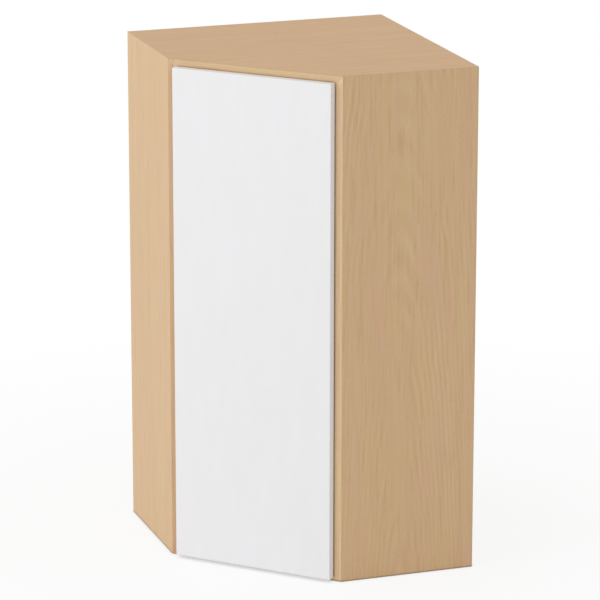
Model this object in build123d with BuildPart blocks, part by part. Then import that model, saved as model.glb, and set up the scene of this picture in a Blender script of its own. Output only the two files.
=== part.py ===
from build123d import *
from math import sqrt
import os

os.makedirs("parts", exist_ok=True)

# Corner wall cabinet, millimetres, +Z up. It hangs in the corner of two walls: the left wall lies
# along X behind it (+Y side), the right wall along Y (+X side), and the door closes the diagonal
# front. The origin is the centre of the box round the closed cabinet, at the lower ends of the sides.

# Boards and outline
wall_width = 610.0  # along each wall
side_depth = 311.0  # from the wall to the front corner of a side panel
cabinet_height = 1143.0
side_board = 18.0
flat_board = 19.0  # top and bottom panels
back_board = 12.0
bottom_lift = 3.0  # bottom panel's underside above the lower ends of the sides

# Door
door_board = 19.0
stand_off = 3.5  # gap between the carcass front and the door's back
left_margin = 22.0  # front corner of the left side to the door's hinge edge, along the front
right_margin = 18.0
top_reveal = 15.0
bottom_reveal = 8.0
door_easing = 1.4  # rounding of the door's front edges

# Rows of holes for shelf pins and hinge plates
hole_pitch = 32.0
row_setback = 37.0  # front row behind the side panel's inner front edge
rear_row = 92.0  # rear row, from the wall behind the back panel
back_row = 150.0  # row in a back panel, from the other wall
pin_hole_radius = 2.5
pin_hole_depth = 9.0
holes_per_shelf = 3

# Shelves and their pins
shelf_count = 3
shelf_board = 16.0
shelf_clearance = 1.5
shelf_setback = 22.0  # shelf's front edge behind the carcass front
tongue_length = 7.0
tongue_width = 7.0
tongue_thickness = 2.4

# Hanging rails and the holes for the wall screws
rail_height = 80.0
rail_board = 19.0
wall_hole_radius = 3.0
wall_hole_spacing = 400.0
low_wall_hole_height = 70.0

# Cam fittings and dowels
cam_radius = 7.3
cam_height = 12.0
cam_setback = 24.0  # cam's centre from the joint
cam_clearance = 0.2
bolt_radius = 3.3
bolt_thread_radius = 2.5
bolt_thread_depth = 11.0
front_cam_inset = 45.0  # front cams behind the side panel's inner front edge
rear_cam_inset = 55.0  # rear cams in front of the back panel
dowel_radius = 4.0
dowel_spacing = 32.0  # dowel beside its cam
dowel_in_side = 11.0
dowel_in_flat = 22.0
edge_dowel_radius = 3.0
edge_dowel_in_back = 18.0
edge_dowel_count = 4
wood_clearance = 0.05
bore_end_gap = 0.3

# Screws
screw_radius = 1.75
screw_head_radius = 3.6
screw_length = 30.0
screws_per_edge = 3
corner_screw_count = 4
pan_head_radius = 3.8
pan_head_height = 2.2
pan_head_taper = 20  # degrees

# Hinges
hinge_count = 3
hinge_inset = 90.0  # least distance from the bottom panel's top to a hinge's middle
cup_tab = 3.0  # rim of the cup to the door's edge
cup_radius = 17.5
cup_depth = 12.3
cup_floor = 1.0
cup_flange = 1.3
flange_margin = 2.5  # flange's edge to the door's edge
pocket_length = 31.5
pocket_width = 10.8
pocket_corner = 1.0
pocket_end_gap = 0.8  # arm's eye to the end of the pocket
cup_screw_spacing = 45.0
cup_screw_offset = 9.5
cup_wing_width = 11.0
cup_screw_length = 13.0
pivot_inset = 7.8  # pivot pin from the door's edge
pivot_depth = 8.5  # pivot pin from the door's back
pivot_radius = 1.5
pivot_length = 16.0
running_fit = 0.05
seat_fit = 0.02
arm_sheet = 2.5
arm_width = 10.0
arm_eye_radius = 2.5
arm_reach = 24.2  # pivot pin to the outer run of the arm's hook
arm_slope = 0.9  # how far the arm's inner run leans out of the cup
arm_behind_front = 6.5
arm_off_side = 12.0  # arm's middle line from the side panel's inner face
arm_bend_radius = 4.0
arm_tail = 52.0
channel_width = 13.6
channel_cheek = 1.6
channel_depth = 6.5
channel_length = 40.0
saddle_width = 9.0
saddle_length = 46.0
saddle_ahead = 20.0  # saddle's front end ahead of the plate screws
wing_thickness = 2.5
wing_width = 13.0
wing_overlap = 7.0  # wing past its screw's centre
wing_corner = 4.0
plate_screw_radius = 2.4
arm_screw_radius = 2.0
arm_screw_length = 9.0
arm_screw_clearance = 0.3  # round a screw in the arm, for adjusting
clamp_screw_behind = 5.0  # clamp screw behind the plate screws
adjusting_screw_ahead = 11.0  # adjusting screw ahead of the plate screws

# Door buffers
buffer_radius = 4.0
buffer_gap = 0.3
buffer_inset = 12.0  # from the door's free edge
buffer_edge = 5.0  # from the door's upper or lower edge

# Small round pieces and bores that repeat are drawn with flat sides, a multiple of four
shown_sides = 12
hidden_sides = 8

# Places worked out from the sizes above. A point in plan is given by its distances from the right
# and left walls. On the front, u runs along the diagonal from the left corner and v out of it.
half_root = 1 / sqrt(2)
front_length = (wall_width - side_depth) / half_root
over_left = max(0.0, (stand_off + door_board - left_margin) * half_root)
over_right = max(0.0, (stand_off + door_board - right_margin) * half_root)
right_wall_x = (wall_width + over_left) / 2
left_wall_y = (wall_width + over_right) / 2
inner_width = wall_width - side_board
inner_depth = side_depth + side_board  # wall to the inner front edge of a side panel
top_underside = cabinet_height - flat_board
bottom_top = bottom_lift + flat_board
inner_height = top_underside - bottom_top
door_width = front_length - left_margin - right_margin
door_height = cabinet_height - top_reveal - bottom_reveal


def at(from_right, from_left):
    return right_wall_x - from_right, left_wall_y - from_left


def spread(count, step, middle):
    return [middle + (i - (count - 1) / 2) * step for i in range(count)]


# The front's planes start at its left corner and carry u as local x
corner = at(wall_width, side_depth)
front = Plane(origin=(*corner, 0), x_dir=(1, -1, 0), z_dir=(-1, -1, 0))
door_back = front.offset(stand_off)
diagonal = Plane(origin=(*at(0, 0), 0), x_dir=(1, 1, 0), z_dir=(1, -1, 0))
# Faces of the left half with height as local y. Local x is minus the distance from the left wall on
# side_inner, from the right wall on back_inner and along the front on door_inner; it is the
# distance from the right wall on back_outer. A piece put on a face goes into it.
side_inner = Plane(origin=(*at(inner_width, 0), 0), x_dir=(0, 1, 0), z_dir=(1, 0, 0))
back_outer = Plane(origin=(*at(0, 0), 0), x_dir=(-1, 0, 0), z_dir=(0, 1, 0))
back_inner = Plane(origin=(*at(0, back_board), 0), x_dir=(1, 0, 0), z_dir=(0, -1, 0))
back_end = Plane(origin=(*at(inner_width, back_board / 2), 0), x_dir=(0, -1, 0), z_dir=(-1, 0, 0))
back_butt = Plane(origin=(*at(back_board, back_board / 2), 0), x_dir=(0, 1, 0), z_dir=(1, 0, 0))
door_inner = Plane(origin=door_back.origin, x_dir=(-1, 1, 0), z_dir=(1, 1, 0))

middle_level = round((bottom_top + inner_height / 2) / hole_pitch + 1) * hole_pitch
level_step = round(inner_height / (shelf_count + 1) / hole_pitch) * hole_pitch
pin_levels = spread(shelf_count, level_step, middle_level)
hole_levels = [level + step * hole_pitch for level in pin_levels for step in range(holes_per_shelf)]
hinge_step = (inner_height - 2 * hinge_inset) / (hinge_count - 1) // hole_pitch * hole_pitch
hinge_heights = spread(hinge_count, hinge_step, middle_level - 1.5 * hole_pitch)
plate_screw_heights = [level + side * hole_pitch / 2 for level in hinge_heights for side in (-1, 1)]
front_row = inner_depth - row_setback
cam_rows = [inner_depth - front_cam_inset, back_board + rear_cam_inset]
dowel_rows = [cam_rows[0] - dowel_spacing, cam_rows[1] + dowel_spacing]
joint_heights = [bottom_lift + flat_board / 2, cabinet_height - flat_board / 2]
edge_dowel_heights = spread(edge_dowel_count, cabinet_height / edge_dowel_count, cabinet_height / 2)
rail_middle = top_underside - rail_height / 2
wall_hole_places = spread(2, wall_hole_spacing, inner_width / 2)
wall_holes_at = [(place, height) for place in wall_hole_places
                 for height in (low_wall_hole_height, rail_middle)]
edge_screw_places = spread(screws_per_edge, inner_width / (screws_per_edge + 1), inner_width / 2)
rail_screw_places = spread(2, wall_hole_spacing / 2, inner_width / 2)
back_screws_at = ([(place, height) for place in edge_screw_places for height in joint_heights]
                  + [(place, rail_middle) for place in rail_screw_places])
corner_screw_heights = spread(corner_screw_count, cabinet_height / corner_screw_count,
                              cabinet_height / 2)
corner_screws_at = [(back_board / 2, height) for height in corner_screw_heights]
screw_hole_radius = screw_radius + wood_clearance


def flat_outline(gap, setback):
    """Corners of a five-sided board that fits between the sides and the backs."""
    near, far = back_board + gap, inner_width - gap
    lean = wall_width + side_depth - far - setback / half_root
    return [at(far, near), at(near, near), at(near, far), at(lean, far), at(far, lean)]


def bar(radius, length, sides=hidden_sides):
    """A small round bar, or the cutter of its bore, down from its end at the origin."""
    with BuildPart() as piece:
        with BuildSketch():
            RegularPolygon(radius, sides)
        extrude(amount=-length)
    return piece.part


def sunk_screw(radius, head_radius, length):
    """A countersunk screw, or the cutter of its hole, down from its head's face."""
    with BuildPart() as piece:
        with BuildSketch():
            RegularPolygon(radius, hidden_sides)
        extrude(amount=-length)
        with BuildSketch():
            RegularPolygon(head_radius, hidden_sides)
        extrude(amount=radius - head_radius, taper=45)
    return piece.part


def pan_screw(radius, length):
    """A screw down from the underside of its pan head."""
    with BuildPart() as piece:
        with BuildSketch():
            RegularPolygon(radius, hidden_sides)
        extrude(amount=-length)
        with BuildSketch():
            RegularPolygon(pan_head_radius, hidden_sides)
        extrude(amount=pan_head_height, taper=pan_head_taper)
    return piece.part


def put(piece, plane, places, mode=Mode.ADD):
    with Locations(plane):
        with Locations(*places):
            add(piece, mode=mode)


def drill(cutter, plane, places):
    put(cutter, plane, places, Mode.SUBTRACT)


# Side panels: the front edge is cut along the diagonal, and the inner face is bored
pin_bore = bar(pin_hole_radius, pin_hole_depth)
with BuildPart() as side_blank:
    with BuildSketch():
        with BuildLine():
            Polyline(at(wall_width, 0), at(wall_width, side_depth),
                     at(inner_width, inner_depth), at(inner_width, 0), close=True)
        make_face()
    extrude(amount=cabinet_height)
    drill(pin_bore, side_inner, [(-row, level) for row in (front_row, rear_row) for level in hole_levels])
    drill(bar(bolt_thread_radius, bolt_thread_depth + bore_end_gap), side_inner,
          [(-row, height) for row in cam_rows for height in joint_heights])
    drill(bar(dowel_radius, dowel_in_side + bore_end_gap), side_inner,
          [(-row, height) for row in dowel_rows for height in joint_heights])
    drill(bar(edge_dowel_radius, dowel_in_side + bore_end_gap), side_inner,
          [(-back_board / 2, height) for height in edge_dowel_heights])

with BuildPart() as left_side_panel:
    add(side_blank.part)
    drill(pin_bore, side_inner, [(-front_row, height) for height in plate_screw_heights])
left_side_panel.part.label = "left_side_panel"
export_step(left_side_panel.part, "parts/left_side_panel.step")

with BuildPart() as right_side_panel:
    mirror(side_blank.part, about=diagonal)
right_side_panel.part.label = "right_side_panel"
export_step(right_side_panel.part, "parts/right_side_panel.step")


def cam_face(height, facing):
    """A top or bottom panel's inner face; facing is 1 up or -1 down and turns local y."""
    return Plane(origin=(0, 0, height), x_dir=(1, 0, 0), z_dir=(0, 0, facing))


def cam_places(facing):
    return [(x, facing * y) for x, y in (at(inner_width - cam_setback, row) for row in cam_rows)]


def flat_bores(middle, face_height, facing):
    """Cam, bolt, dowel and screw bores of a top or bottom panel, the same at both walls."""
    drill(bar(cam_radius + cam_clearance, cam_height + bore_end_gap, shown_sides),
          cam_face(face_height, facing), cam_places(facing))
    drill(bar(bolt_radius + cam_clearance, cam_setback), back_end,
          [(row - back_board / 2, middle) for row in cam_rows])
    drill(bar(dowel_radius, dowel_in_flat + bore_end_gap), back_end,
          [(row - back_board / 2, middle) for row in dowel_rows])
    drill(bar(screw_hole_radius, screw_length + bore_end_gap), back_outer,
          [(place, middle) for place in edge_screw_places])
    mirror(about=diagonal, mode=Mode.INTERSECT)


with BuildPart() as top_panel:
    with BuildSketch(Plane.XY.offset(top_underside)):
        with BuildLine():
            Polyline(*flat_outline(0, 0), close=True)
        make_face()
    extrude(amount=flat_board)
    flat_bores(top_underside + flat_board / 2, top_underside, -1)
top_panel.part.label = "top_panel"
export_step(top_panel.part, "parts/top_panel.step")

with BuildPart() as bottom_panel:
    with BuildSketch(Plane.XY.offset(bottom_lift)):
        with BuildLine():
            Polyline(*flat_outline(0, 0), close=True)
        make_face()
    extrude(amount=flat_board)
    flat_bores(bottom_lift + flat_board / 2, bottom_top, 1)
bottom_panel.part.label = "bottom_panel"
export_step(bottom_panel.part, "parts/bottom_panel.step")

# Back panels: the left one runs into the corner and the right one butts against it
back_screw_hole = sunk_screw(screw_hole_radius, screw_head_radius + wood_clearance,
                             back_board + bore_end_gap)
edge_dowel_bore = bar(edge_dowel_radius, edge_dowel_in_back + bore_end_gap)


def wall_holes(plane, places, depth):
    with Locations(plane):
        with Locations(*places):
            Hole(wall_hole_radius, depth)


with BuildPart() as left_back_panel:
    with BuildSketch(back_outer):
        with Locations((inner_width / 2, cabinet_height / 2)):
            Rectangle(inner_width, cabinet_height)
    extrude(amount=-back_board)
    wall_holes(back_outer, wall_holes_at, back_board)
    drill(pin_bore, back_inner, [(-back_row, level) for level in hole_levels])
    drill(edge_dowel_bore, back_end, [(0, height) for height in edge_dowel_heights])
    drill(back_screw_hole, back_outer, back_screws_at + corner_screws_at)
left_back_panel.part.label = "left_back_panel"
export_step(left_back_panel.part, "parts/left_back_panel.step")

with BuildPart() as right_back_panel:
    with BuildSketch(back_outer):
        with Locations(((inner_width + back_board) / 2, cabinet_height / 2)):
            Rectangle(inner_width - back_board, cabinet_height)
    extrude(amount=-back_board)
    wall_holes(back_outer, wall_holes_at, back_board)
    drill(pin_bore, back_inner, [(-back_row, level) for level in hole_levels])
    drill(edge_dowel_bore, back_end, [(0, height) for height in edge_dowel_heights])
    drill(back_screw_hole, back_outer, back_screws_at)
    drill(bar(screw_hole_radius, screw_length - back_board + bore_end_gap), back_butt,
          [(0, height) for height in corner_screw_heights])
    mirror(about=diagonal, mode=Mode.REPLACE)
right_back_panel.part.label = "right_back_panel"
export_step(right_back_panel.part, "parts/right_back_panel.step")


def rail_holes():
    wall_holes(back_inner.offset(rail_board), [(-place, rail_middle) for place in wall_hole_places],
               rail_board)
    drill(bar(screw_hole_radius, screw_length + bore_end_gap), back_outer,
          [(place, rail_middle) for place in rail_screw_places])


with BuildPart() as left_hanging_rail:
    with BuildSketch(back_inner):
        with Locations((-(inner_width + back_board) / 2, rail_middle)):
            Rectangle(inner_width - back_board, rail_height)
    extrude(amount=rail_board)
    rail_holes()
left_hanging_rail.part.label = "left_hanging_rail"
export_step(left_hanging_rail.part, "parts/left_hanging_rail.step")

right_rail_start = back_board + rail_board  # it butts against the left rail
with BuildPart() as right_hanging_rail:
    with BuildSketch(back_inner):
        with Locations((-(inner_width + right_rail_start) / 2, rail_middle)):
            Rectangle(inner_width - right_rail_start, rail_height)
    extrude(amount=rail_board)
    rail_holes()
    mirror(about=diagonal, mode=Mode.REPLACE)
right_hanging_rail.part.label = "right_hanging_rail"
export_step(right_hanging_rail.part, "parts/right_hanging_rail.step")

# Shelves rest on the flat tongues of their pins
shelf_names = ["lower_shelf", "middle_shelf", "upper_shelf"]
for i, level in enumerate(pin_levels):
    with BuildPart() as shelf:
        with BuildSketch(Plane.XY.offset(level + pin_hole_radius)):
            with BuildLine():
                Polyline(*flat_outline(shelf_clearance, shelf_setback), close=True)
            make_face()
        extrude(amount=shelf_board)
    name = shelf_names[i] if i < len(shelf_names) else f"shelf_{i + 1}"
    shelf.part.label = name
    export_step(shelf.part, f"parts/{name}.step")

# A shelf pin has a shank in its board and a flat tongue under the shelf
with BuildPart() as pin:
    add(bar(pin_hole_radius - wood_clearance, pin_hole_depth - bore_end_gap))
    with Locations((0, pin_hole_radius, 0)):
        Box(tongue_width, tongue_thickness, tongue_length, align=(Align.CENTER, Align.MAX, Align.MIN))
with BuildPart() as shelf_pins:
    put(pin.part, side_inner, [(-row, level) for row in (front_row, rear_row) for level in pin_levels])
    put(pin.part, back_inner, [(-back_row, level) for level in pin_levels])
    mirror(about=diagonal)
shelf_pins.part.label = "shelf_pins"
export_step(shelf_pins.part, "parts/shelf_pins.step")

# A cam turns in its pocket and is open towards its bolt
with BuildPart() as cam:
    add(bar(cam_radius, cam_height, shown_sides))
    with Locations(Location((0, 0, -flat_board / 2), (0, 90, 0))):
        add(bar(bolt_radius + cam_clearance, cam_radius), mode=Mode.SUBTRACT)
with BuildPart() as joint_cams:
    put(cam.part, cam_face(top_underside, -1), cam_places(-1))
    put(cam.part, cam_face(bottom_top, 1), cam_places(1))
    mirror(about=diagonal)
joint_cams.part.label = "joint_cams"
export_step(joint_cams.part, "parts/joint_cams.step")

bolt_length = cam_setback - bore_end_gap
with BuildPart() as cam_bolts:
    bolts_at = [(-row, height) for row in cam_rows for height in joint_heights]
    put(bar(bolt_thread_radius - seat_fit, bolt_thread_depth), side_inner, bolts_at)
    put(bar(bolt_radius, bolt_length), side_inner.offset(bolt_length), bolts_at)
    mirror(about=diagonal)
cam_bolts.part.label = "cam_bolts"
export_step(cam_bolts.part, "parts/cam_bolts.step")

with BuildPart() as wooden_dowels:
    put(bar(dowel_radius - wood_clearance, dowel_in_side + dowel_in_flat),
        side_inner.offset(dowel_in_flat),
        [(-row, height) for row in dowel_rows for height in joint_heights])
    put(bar(edge_dowel_radius - wood_clearance, dowel_in_side + edge_dowel_in_back),
        side_inner.offset(edge_dowel_in_back),
        [(-back_board / 2, height) for height in edge_dowel_heights])
    mirror(about=diagonal)
wooden_dowels.part.label = "wooden_dowels"
export_step(wooden_dowels.part, "parts/wooden_dowels.step")

back_screw = sunk_screw(screw_radius, screw_head_radius, screw_length)
with BuildPart() as back_panel_screws:
    put(back_screw, back_outer, back_screws_at)
    mirror(about=diagonal)
    put(back_screw, back_outer, corner_screws_at)
back_panel_screws.part.label = "back_panel_screws"
export_step(back_panel_screws.part, "parts/back_panel_screws.step")

# Door. Each hinge cup sits in a bore in its back, and the pivot pin lies in the cup close to the
# door's hinge edge.
cup_u = left_margin + cup_tab + cup_radius
cup_screw_u = cup_u + cup_screw_offset
pivot_u = left_margin + pivot_inset
pivot_v = stand_off + pivot_depth
cups_at = [(cup_u, height) for height in hinge_heights]
cup_screws_at = [(-cup_screw_u, height + side * cup_screw_spacing / 2)
                 for height in hinge_heights for side in (-1, 1)]
pivots_at = [front.location * Location((pivot_u, height, pivot_v), (90, 0, 0))
             for height in hinge_heights]

with BuildPart() as door_panel:
    with BuildSketch(door_back):
        with Locations((left_margin + door_width / 2, bottom_reveal + door_height / 2)):
            Rectangle(door_width, door_height)
    extrude(amount=door_board)
    fillet(faces().sort_by(Axis(origin=(0, 0, 0), direction=front.z_dir))[-1].edges(), door_easing)
    with BuildSketch(door_back):
        with Locations(*cups_at):
            Circle(cup_radius + wood_clearance)
    extrude(amount=cup_depth + bore_end_gap, mode=Mode.SUBTRACT)
    drill(bar(screw_hole_radius, cup_screw_length - cup_flange + bore_end_gap), door_inner, cup_screws_at)
door_panel.part.label = "door_panel"
export_step(door_panel.part, "parts/door_panel.step")

pocket_u = pivot_u - arm_eye_radius - pocket_end_gap + pocket_length / 2
with BuildPart() as hinge_cups:
    with BuildSketch(door_back):
        with Locations(*cups_at):
            Circle(cup_radius)
    extrude(amount=cup_depth)
    with BuildSketch(door_back):
        with Locations(*cups_at):
            Circle(cup_tab + cup_radius - flange_margin)
        with Locations(*[(cup_screw_u, height) for height in hinge_heights]):
            SlotCenterToCenter(cup_screw_spacing, cup_wing_width, rotation=90)
    extrude(amount=-cup_flange)
    with BuildSketch(door_back.offset(-cup_flange)):
        with Locations(*[(pocket_u, height) for height in hinge_heights]):
            RectangleRounded(pocket_length, pocket_width, pocket_corner)
    extrude(amount=cup_flange + cup_depth - cup_floor, mode=Mode.SUBTRACT)
    with Locations(*pivots_at):
        Cylinder(pivot_radius + seat_fit, pivot_length, mode=Mode.SUBTRACT)
    drill(bar(screw_hole_radius, cup_flange), door_inner.offset(cup_flange), cup_screws_at)
hinge_cups.part.label = "hinge_cups"
export_step(hinge_cups.part, "parts/hinge_cups.step")

with BuildPart() as hinge_pins:
    with Locations(*pivots_at):
        Cylinder(pivot_radius, pivot_length)
hinge_pins.part.label = "hinge_pins"
export_step(hinge_pins.part, "parts/hinge_pins.step")

with BuildPart() as hinge_cup_screws:
    put(pan_screw(screw_radius, cup_screw_length), door_inner.offset(cup_flange), cup_screws_at)
hinge_cup_screws.part.label = "hinge_cup_screws"
export_step(hinge_cup_screws.part, "parts/hinge_cup_screws.step")

# Hinge arms: an eye on the pivot pin, an inner run along the cup, a hook out of the cup, and a run
# back to a channel that lies along the side panel on the saddle of its mounting plate
bend_u = (side_board + arm_off_side) / half_root - arm_behind_front
tail_step = arm_tail * half_root
arm_line = [(pivot_u, pivot_v), (pivot_u + arm_reach, pivot_v - arm_slope),
            (pivot_u + arm_reach, -arm_behind_front), (bend_u, -arm_behind_front),
            (bend_u - tail_step, -arm_behind_front - tail_step)]
arm_end = side_depth + (bend_u - arm_behind_front) * half_root - arm_tail
channel_middle = arm_end + channel_length / 2
arm_outer = side_inner.offset(arm_off_side + arm_sheet / 2)
arm_seat = side_inner.offset(arm_off_side - arm_sheet / 2)
channel_rim = side_inner.offset(arm_off_side - channel_depth)
hinges_on_side = [(-channel_middle, height) for height in hinge_heights]
arm_screws_at = [(-row, height) for height in hinge_heights
                 for row in (front_row - clamp_screw_behind, front_row + adjusting_screw_ahead)]

with BuildPart() as hinge_arms:
    for height in hinge_heights:
        with BuildSketch(Plane(origin=(*corner, height), x_dir=front.x_dir, z_dir=(0, 0, -1))):
            with BuildLine():
                FilletPolyline(*arm_line, radius=arm_bend_radius)
            trace(line_width=arm_sheet)
            with Locations(arm_line[0]):
                Circle(arm_eye_radius)
        extrude(amount=arm_width / 2, both=True)
    with BuildSketch(channel_rim):
        with Locations(*hinges_on_side):
            Rectangle(channel_length, channel_width)
            Rectangle(channel_length, channel_width - 2 * channel_cheek, mode=Mode.SUBTRACT)
    extrude(amount=channel_depth + arm_sheet / 2)
    with BuildSketch(arm_seat):
        with Locations(*hinges_on_side):
            Rectangle(channel_length, channel_width)
    extrude(amount=arm_sheet)
    with Locations(*pivots_at):
        Cylinder(pivot_radius + running_fit, arm_width, mode=Mode.SUBTRACT)
    drill(bar(arm_screw_radius + arm_screw_clearance, arm_sheet), arm_outer, arm_screws_at)
hinge_arms.part.label = "hinge_arms"
export_step(hinge_arms.part, "parts/hinge_arms.step")

saddle_middle = front_row + saddle_ahead - saddle_length / 2
with BuildPart() as hinge_plates:
    with BuildSketch(side_inner):
        with Locations(*[(-front_row, height) for height in hinge_heights]):
            RectangleRounded(wing_width, hole_pitch + 2 * wing_overlap, wing_corner)
    extrude(amount=wing_thickness)
    with BuildSketch(side_inner):
        with Locations(*[(-saddle_middle, height) for height in hinge_heights]):
            Rectangle(saddle_length, saddle_width)
    extrude(amount=arm_off_side - arm_sheet / 2)
    drill(bar(plate_screw_radius + wood_clearance, wing_thickness), side_inner.offset(wing_thickness),
          [(-front_row, height) for height in plate_screw_heights])
    drill(bar(arm_screw_radius + seat_fit, arm_screw_length - arm_sheet + bore_end_gap),
          arm_seat, arm_screws_at)
hinge_plates.part.label = "hinge_plates"
export_step(hinge_plates.part, "parts/hinge_plates.step")

with BuildPart() as hinge_plate_screws:
    put(pan_screw(plate_screw_radius, wing_thickness + pin_hole_depth - bore_end_gap),
        side_inner.offset(wing_thickness), [(-front_row, height) for height in plate_screw_heights])
hinge_plate_screws.part.label = "hinge_plate_screws"
export_step(hinge_plate_screws.part, "parts/hinge_plate_screws.step")

with BuildPart() as hinge_arm_screws:
    put(pan_screw(arm_screw_radius, arm_screw_length), arm_outer, arm_screws_at)
hinge_arm_screws.part.label = "hinge_arm_screws"
export_step(hinge_arm_screws.part, "parts/hinge_arm_screws.step")

# Soft pads on the door's back meet the front edges of the top and bottom panels
buffer_u = left_margin + door_width - buffer_inset
buffer_heights = [bottom_reveal + buffer_edge, bottom_reveal + door_height - buffer_edge]
with BuildPart() as door_buffers:
    put(bar(buffer_radius, stand_off - buffer_gap, shown_sides),
        door_inner.offset(stand_off - buffer_gap), [(-buffer_u, height) for height in buffer_heights])
door_buffers.part.label = "door_buffers"
export_step(door_buffers.part, "parts/door_buffers.step")
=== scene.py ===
import math
from functools import partial

import bmesh
import bpy
import numpy as np
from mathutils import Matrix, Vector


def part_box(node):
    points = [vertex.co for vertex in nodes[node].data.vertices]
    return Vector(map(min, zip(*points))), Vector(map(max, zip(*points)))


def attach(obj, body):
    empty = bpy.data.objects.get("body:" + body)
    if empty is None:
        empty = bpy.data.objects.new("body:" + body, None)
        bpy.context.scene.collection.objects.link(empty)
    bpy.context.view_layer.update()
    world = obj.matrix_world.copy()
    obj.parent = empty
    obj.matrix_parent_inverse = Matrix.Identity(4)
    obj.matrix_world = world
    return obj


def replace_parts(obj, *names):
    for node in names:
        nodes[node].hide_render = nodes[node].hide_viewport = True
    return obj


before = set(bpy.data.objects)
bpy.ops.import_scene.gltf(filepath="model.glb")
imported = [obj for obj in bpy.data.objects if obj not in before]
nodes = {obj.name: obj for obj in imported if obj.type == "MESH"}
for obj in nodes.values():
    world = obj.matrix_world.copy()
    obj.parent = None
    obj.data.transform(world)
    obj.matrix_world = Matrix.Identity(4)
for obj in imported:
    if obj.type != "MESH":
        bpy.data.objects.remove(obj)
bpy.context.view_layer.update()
print("frame loaded:", len(nodes), "nodes")


def linearColour(hexCode, tone=1.0, warmth=0.0):
    channels = [int(hexCode[i:i + 2], 16) / 255 for i in (1, 3, 5)]
    linear = [c / 12.92 if c <= 0.04045 else ((c + 0.055) / 1.055) ** 2.4 for c in channels]
    return (linear[0] * tone, linear[1] * tone * (1 - warmth / 2), linear[2] * tone * (1 - warmth), 1.0)


# Adds one node. Inputs come in the order of its sockets, or in a dictionary by number or name; each is
# a value, a socket, a node (its first output is meant) or a list of nodes for a joining socket.
def addNode(tree, kind, *inputs, **settings):
    node = tree.nodes.new(kind)
    for setting, value in settings.items():
        setattr(node, setting, value)
    wires = {}
    for place, value in enumerate(inputs):
        wires.update(value if isinstance(value, dict) else {place: value})
    for socket, value in wires.items():
        for source in reversed(value if isinstance(value, list) else [value]):
            if isinstance(source, bpy.types.Node):
                source = source.outputs[0]
            if isinstance(source, bpy.types.NodeSocket):
                tree.links.new(source, node.inputs[socket])
            else:
                node.inputs[socket].default_value = source
    return node


def newMaterial(name):
    material = bpy.data.materials.new(name)
    material.use_nodes = True
    material.node_tree.nodes.clear()
    return material, partial(addNode, material.node_tree)


# Lays colours over a first one, each by its own amount
def layCoats(add, colour, coats):
    for amount, coat in coats:
        colour = add("ShaderNodeMix", {0: amount, 6: colour, 7: coat}, data_type="RGBA").outputs[2]
    return colour


# How a bevelled normal shows an arris, and a lower one: where each mask starts and where it is full
arrisMasks = {
    "turned": (0.995, 0.80),   # cosine between the bevelled normal and the flat one
    "down": (-0.05, -0.30),    # upward part of the bevelled normal
    "samples": 6,
}


# Bevelled normal and two masks: the arrises, made paler as painted highlight and as wear from handling,
# and the lower ones among them, which face down and are darkened as painted shade
def easedEdges(add, radius, highlightAndWear, paintedLowerShade):
    bevel = add("ShaderNodeBevel", {"Radius": radius}, samples=arrisMasks["samples"])
    flat = add("ShaderNodeNewGeometry").outputs["True Normal"]
    turned = add("ShaderNodeVectorMath", bevel, flat, operation="DOT_PRODUCT").outputs["Value"]
    arris = add("ShaderNodeMapRange", turned, *arrisMasks["turned"])
    down = add("ShaderNodeMapRange", add("ShaderNodeSeparateXYZ", bevel).outputs[2], *arrisMasks["down"])
    lower = add("ShaderNodeMath", arris, down, operation="MULTIPLY")
    upper = add("ShaderNodeMath", arris, lower, operation="SUBTRACT")
    return (bevel, add("ShaderNodeMath", upper, highlightAndWear, operation="MULTIPLY"),
            add("ShaderNodeMath", lower, paintedLowerShade, operation="MULTIPLY"))


# Birch veneer pressed on board: long pale streaks, arches where the knife grazed the log's heart,
# short brown fibres and hair-fine pores, under a rubbed satin lacquer
birchVeneer = {
    "pale": "#E6C7A0",
    "dark": "#CFA97B",
    "flush": "#E0B697",        # pinkish streaks
    "straw": "#DDC08D",        # yellowish streaks
    "lowerArrisShade": "#604E3C",         # painted shade on the lower arrises
    "ringPitch": 0.0085,
    "logDepth": 0.045,         # how deep under the face the heart lies
    "taper": 0.10,             # how fast the heart nears the face along the board
    "wander": 0.035,
    "ringStrength": 0.16,
    "streakStrength": 0.46,
    "fibreStrength": 0.32,     # brown fibres 5 mm by 100 mm, as coarse as they need to show
    "poreStrength": 0.14,      # open grain about 1 mm by 40 mm
    "fleckStrength": 0.55,     # dark flecks of single vessels, 0.4 mm by 7 mm, which only a near view shows
    "hueStrength": 0.52,
    "ringPatches": (0.38, 0.72),           # noise at which rings begin to show, and show in full
    "fibreMarks": (0.50, 0.75, 0.12),      # noise at which a mark starts, is full, and the lift between marks
    "fleckMarks": (0.56, 0.76, 0.06),
    "flushPatches": (0.52, 0.72),
    "strawPatches": (0.48, 0.28),
    "middle": 0.55,            # share of pale wood between the streaks
    "endGrain": 0.9,           # a face that looks up more than this takes the top panel's leaf
    "highlightAndWear": 0.35,            # painted highlight and wear on the arrises
    "highlightAndWearTone": 1.06,
    "paintedLowerShade": 0.95,             # painted shade on the lower arrises
    "relief": 0.25,
    "poreDepth": 0.0002,
    "roughness": 0.52,
    "poreGloss": -0.25,        # how much the pores change the roughness
    "ior": 1.5,
    "sheen": 0.30,             # specular level of the thin lacquer
    "edgeRadius": 0.0012,
}

# Noises of the grain: waves per metre across it and along it, octaves, roughness
grainNoises = {
    "wander": (5.0, 2.4, 3.0, 0.6),
    "rings": (18.0, 5.0, 2.0, 0.5),
    "pores": (900.0, 24.0, 2.0, 0.5),
    "streaks": (60.0, 1.6, 3.0, 0.55),
    "fibres": (200.0, 9.0, 1.5, 0.5),
    "flecks": (2500.0, 150.0, 1.0, 0.5),
    "hue": (42.0, 3.0, 3.0, 0.5),
}
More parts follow.
